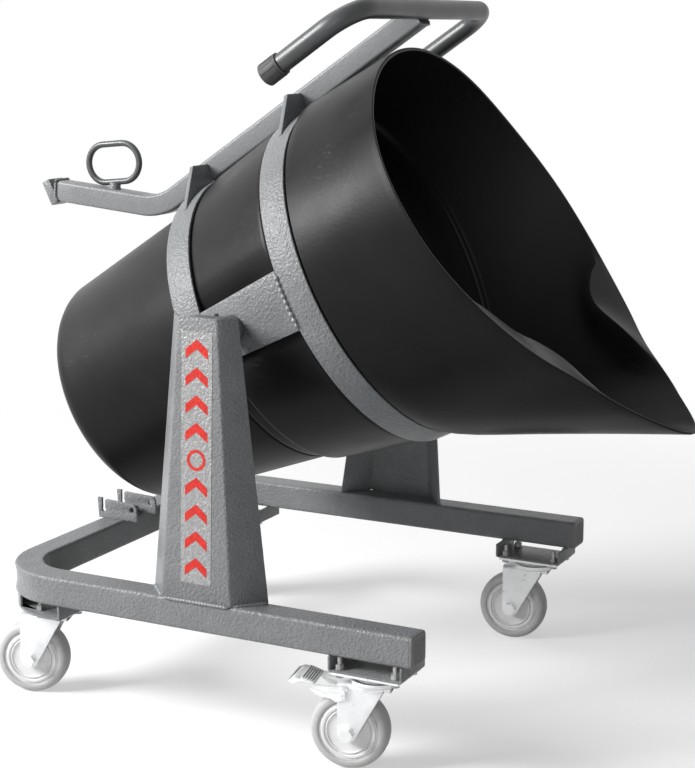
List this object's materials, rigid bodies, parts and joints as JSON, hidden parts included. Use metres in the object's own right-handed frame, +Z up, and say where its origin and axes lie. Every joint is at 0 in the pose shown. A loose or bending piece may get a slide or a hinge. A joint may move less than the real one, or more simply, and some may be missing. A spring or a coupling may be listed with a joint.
{
  "type": "tipping cart",
  "caption": "Tipping cart for mixed mortar: U-shaped tube base on swivel castors, two pillars and a hooped cradle that tips a black spouted tub.",
  "frame": {"origin": "floor under the middle of the resting cart's box, mid-plane of the two rails", "axes": "+X towards the spout, the pouring side; +Y to the far side; +Z up"},
  "size_m": [0.9719, 0.6143, 0.9328],
  "materials": {
    "frame_paint": "satin, orange-peel powder coat",
    "handle_paint": "satin powder coat",
    "zinc": "bright zinc plate",
    "tyre_grey": "grey rubber",
    "wheel_grey": "moulded light grey",
    "tub_plastic": "satin black polyethylene",
    "plug_plastic": "dark grey moulded",
    "pad_rubber": "black rubber",
    "grip_rubber": "ribbed dark grip cap",
    "label_vinyl": "silver film with red marks"
  },
  "bodies": {
    "base": {"base_tube": "frame_paint", "plug_near": "plug_plastic", "plug_far": "plug_plastic", "pillar_near": "frame_paint", "pillar_far": "frame_paint", "bracket_fn": "frame_paint", "bracket_ff": "frame_paint", "bracket_rn": "frame_paint", "bracket_rf": "frame_paint", "catch_near": "frame_paint", "catch_far": "frame_paint", "rest_pad": "pad_rubber", "block_near": "frame_paint", "block_far": "frame_paint", "label_near": "label_vinyl", "label_far": "label_vinyl", "plate_fn": "zinc", "plate_ff": "zinc", "plate_rn": "zinc", "plate_rf": "zinc", "bolts_fn": "zinc", "bolts_ff": "zinc", "bolts_rn": "zinc", "bolts_rf": "zinc"},
    "cradle": {"front_hoop": "frame_paint", "rear_hoop": "frame_paint", "side_near": "frame_paint", "side_far": "frame_paint", "spine_arm": "frame_paint", "arm_foot": "frame_paint", "lugs": "frame_paint", "handle_tube": "handle_paint", "cap_near": "grip_rubber", "cap_far": "grip_rubber", "pull_ring": "frame_paint", "tub_shell": "tub_plastic", "liners": "pad_rubber", "tub_screws": "zinc", "hub_near": "frame_paint", "hub_far": "frame_paint", "shaft_near": "zinc", "shaft_far": "zinc", "cross_pins": "zinc"},
    "swivel_fn": {"fork_fn": "zinc", "axle_fn": "zinc"},
    "roller_fn": {"tyre_fn": "tyre_grey", "wheel_fn": "wheel_grey"},
    "swivel_ff": {"fork_ff": "zinc", "axle_ff": "zinc"},
    "roller_ff": {"tyre_ff": "tyre_grey", "wheel_ff": "wheel_grey"},
    "swivel_rn": {"fork_rn": "zinc", "axle_rn": "zinc"},
    "roller_rn": {"tyre_rn": "tyre_grey", "wheel_rn": "wheel_grey"},
    "swivel_rf": {"fork_rf": "zinc", "axle_rf": "zinc"},
    "roller_rf": {"tyre_rf": "tyre_grey", "wheel_rf": "wheel_grey"},
    "pedal": {"brake_pedal": "zinc"}
  },
  "joints": [
    {"name": "tilt", "type": "hinge", "parent": "base", "child": "cradle", "pos_m": [-0.049, 0, 0.526], "axis": [0, 1, 0], "range_deg": [-63.6, 55]},
    {"name": "swivel_fn", "type": "hinge", "parent": "base", "child": "swivel_fn", "pos_m": [0.1795, -0.2675, 0.116], "axis": [0, 0, 1], "continuous": true},
    {"name": "roll_fn", "type": "hinge", "parent": "swivel_fn", "child": "roller_fn", "pos_m": [0.1482, -0.27415, 0.05], "axis": [-0.2079, 0.9781, 0], "continuous": true},
    {"name": "swivel_ff", "type": "hinge", "parent": "base", "child": "swivel_ff", "pos_m": [0.1795, 0.2675, 0.116], "axis": [0, 0, 1], "continuous": true},
    {"name": "roll_ff", "type": "hinge", "parent": "swivel_ff", "child": "roller_ff", "pos_m": [0.14774, 0.2636, 0.05], "axis": [-0.1219, 0.9925, 0], "continuous": true},
    {"name": "swivel_rn", "type": "hinge", "parent": "base", "child": "swivel_rn", "pos_m": [-0.3275, -0.232, 0.116], "axis": [0, 0, 1], "continuous": true},
    {"name": "roll_rn", "type": "hinge", "parent": "swivel_rn", "child": "roller_rn", "pos_m": [-0.35793, -0.24189, 0.05], "axis": [-0.309, 0.9511, 0], "continuous": true},
    {"name": "swivel_rf", "type": "hinge", "parent": "base", "child": "swivel_rf", "pos_m": [-0.3275, 0.232, 0.116], "axis": [0, 0, 1], "continuous": true},
    {"name": "roll_rf", "type": "hinge", "parent": "swivel_rf", "child": "roller_rf", "pos_m": [-0.3588, 0.22535, 0.05], "axis": [-0.2079, 0.9781, 0], "continuous": true},
    {"name": "pedal_press", "type": "hinge", "parent": "swivel_fn", "child": "pedal", "pos_m": [0.14233, -0.2754, 0.104], "axis": [-0.2079, 0.9781, 0], "range_deg": [-12, 0]}
  ]
}
